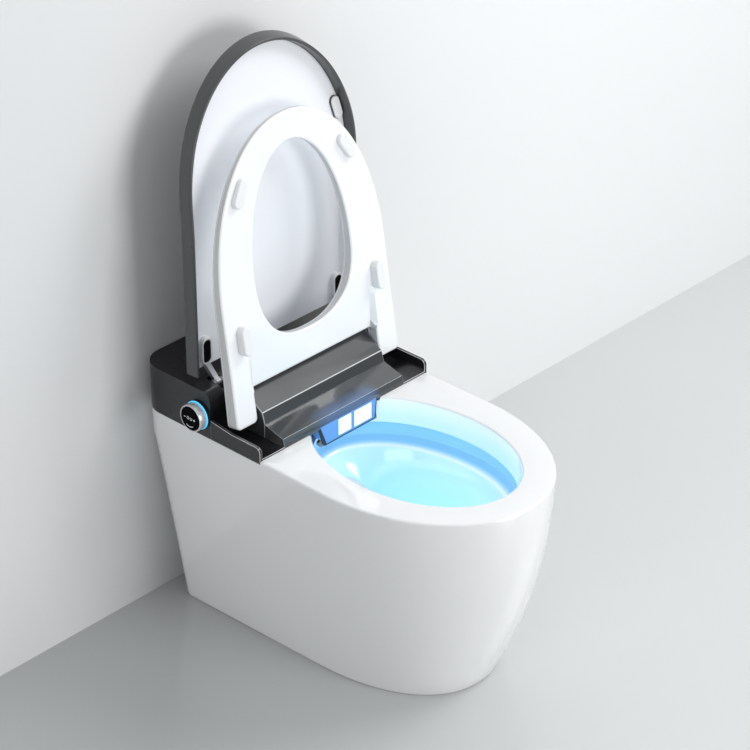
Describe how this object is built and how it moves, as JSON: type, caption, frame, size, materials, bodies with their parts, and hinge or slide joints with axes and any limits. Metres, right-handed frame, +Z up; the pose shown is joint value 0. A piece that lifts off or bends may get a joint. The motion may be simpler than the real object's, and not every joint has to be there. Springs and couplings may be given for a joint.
{
  "type": "smart toilet",
  "caption": "One-piece smart toilet with a raised seat and lid, a side control knob, a wash wand, a warm air outlet and a skirted ceramic bowl.",
  "frame": {"origin": "on the floor, midway between the front tip of the bowl and its back, in the middle plane of the ceramic", "axes": "+Z up, -Y to the front of the bowl, +Y to the wall, -X to the side with the control knob"},
  "size_m": [0.422, 0.693, 1.0182],
  "materials": {
    "ceramic": "gloss",
    "rubber_black": "matte",
    "rubber_white": "satin",
    "gloss_black": "gloss",
    "charcoal_gloss": "gloss",
    "tray_plastic": "matte",
    "steel": "satin",
    "bronze": "satin",
    "chrome": "mirror",
    "hinge_metal": "satin",
    "lit_panel": "satin",
    "lit_window": "satin",
    "night_light": "matte",
    "glow_ring": "satin",
    "seat_white": "gloss",
    "white_plastic": "satin",
    "lid_grey": "satin",
    "heater_foil": "satin",
    "heater_metal": "satin",
    "board": "matte"
  },
  "bodies": {
    "toilet": {"ceramic_rim": "ceramic", "ceramic_left": "ceramic", "ceramic_right": "ceramic", "ceramic_bowl": "ceramic", "ceramic_sump": "ceramic", "ceramic_trap": "ceramic", "ceramic_box": "ceramic", "outlet_seal": "rubber_black", "deck_gasket": "rubber_black", "chassis_plate": "tray_plastic", "works_tray": "tray_plastic", "cover_bolts": "steel", "rear_cover": "gloss_black", "side_wells": "gloss_black", "hinge_cover": "charcoal_gloss", "front_panel": "charcoal_gloss", "nozzle_housing": "lit_panel", "nozzle_gasket": "rubber_black", "night_light": "night_light", "seat_drive": "tray_plastic", "seat_damper": "tray_plastic", "seat_bushes": "bronze", "lid_pins": "steel", "lid_hinge_blocks": "hinge_metal", "knob_mount": "tray_plastic", "knob_switch": "tray_plastic", "knob_glow_ring": "glow_ring", "wand_guide": "tray_plastic", "wand_motor": "steel", "dryer_duct": "tray_plastic", "dryer_heater": "heater_metal", "blower_housing": "tray_plastic", "blower_motor": "steel", "pump_housing": "tray_plastic", "pump_motor": "steel", "inlet_valve": "tray_plastic", "water_heater": "heater_metal", "supply_pipe": "white_plastic", "wash_hose": "white_plastic", "power_supply": "steel", "board_frame": "tray_plastic", "control_board": "board", "cord_gland": "tray_plastic", "cover_screws": "steel"},
    "seat": {"seat_base": "seat_white", "seat_top": "seat_white", "seat_heater": "heater_foil", "seat_buffers_rear": "rubber_white", "seat_buffers_front": "rubber_white", "seat_shafts": "steel"},
    "lid": {"lid_shell": "lid_grey", "lid_liner": "seat_white", "lid_sockets": "white_plastic", "lid_arms": "chrome", "lid_bumpers": "rubber_white"},
    "knob_button": {"knob_stem": "chrome", "knob_face": "gloss_black"},
    "knob_dial": {"knob_ring": "chrome"},
    "wand": {"wand_tube": "white_plastic", "wand_cap": "lit_window", "wand_rack": "steel"},
    "wand_gear": {"wand_pinion": "white_plastic"},
    "flap": {"dryer_flap": "lit_window"},
    "fan": {"blower_wheel": "tray_plastic"},
    "impeller": {"pump_impeller": "white_plastic"}
  },
  "joints": [
    {"name": "lid_hinge", "type": "hinge", "parent": "toilet", "child": "lid", "pos_m": [0, 0.2045, 0.466], "axis": [1, 0, 0], "range_deg": [0, 99]},
    {"name": "seat_hinge", "type": "hinge", "parent": "toilet", "child": "seat", "pos_m": [0, 0.1365, 0.428], "axis": [1, 0, 0], "range_deg": [0, 100.2]},
    {"name": "knob_press", "type": "slide", "parent": "toilet", "child": "knob_button", "axis": [1, 0, 0], "range_m": [0, 0.0015], "stiffness_N_per_m": 1500},
    {"name": "knob_turn", "type": "hinge", "parent": "knob_button", "child": "knob_dial", "pos_m": [-0.21, 0.2025, 0.425], "axis": [-1, 0, 0], "continuous": true},
    {"name": "wand_slide", "type": "slide", "parent": "toilet", "child": "wand", "axis": [0, -0.9135, -0.4067], "range_m": [0, 0.1]},
    {"name": "wand_pinion_turn", "type": "hinge", "parent": "toilet", "child": "wand_gear", "pos_m": [-0.00225, 0.12159, 0.42468], "axis": [-1, 0, 0], "range_deg": [0, 956]},
    {"name": "flap_hinge", "type": "hinge", "parent": "toilet", "child": "flap", "pos_m": [0.041, 0.063, 0.3914], "axis": [-1, 0, 0], "range_deg": [0, 50]},
    {"name": "fan_spin", "type": "hinge", "parent": "toilet", "child": "fan", "pos_m": [0.09, 0.2615, 0.412], "axis": [0, 0, 1], "continuous": true},
    {"name": "pump_spin", "type": "hinge", "parent": "toilet", "child": "impeller", "pos_m": [-0.005, 0.2015, 0.34], "axis": [0, 1, 0], "continuous": true}
  ],
  "couplings": [
    {"joint": "seat_hinge", "follows": "lid_hinge", "ratio": 1.0121},
    {"joint": "wand_pinion_turn", "follows": "wand_slide", "rad_per_m": 166.67}
  ]
}
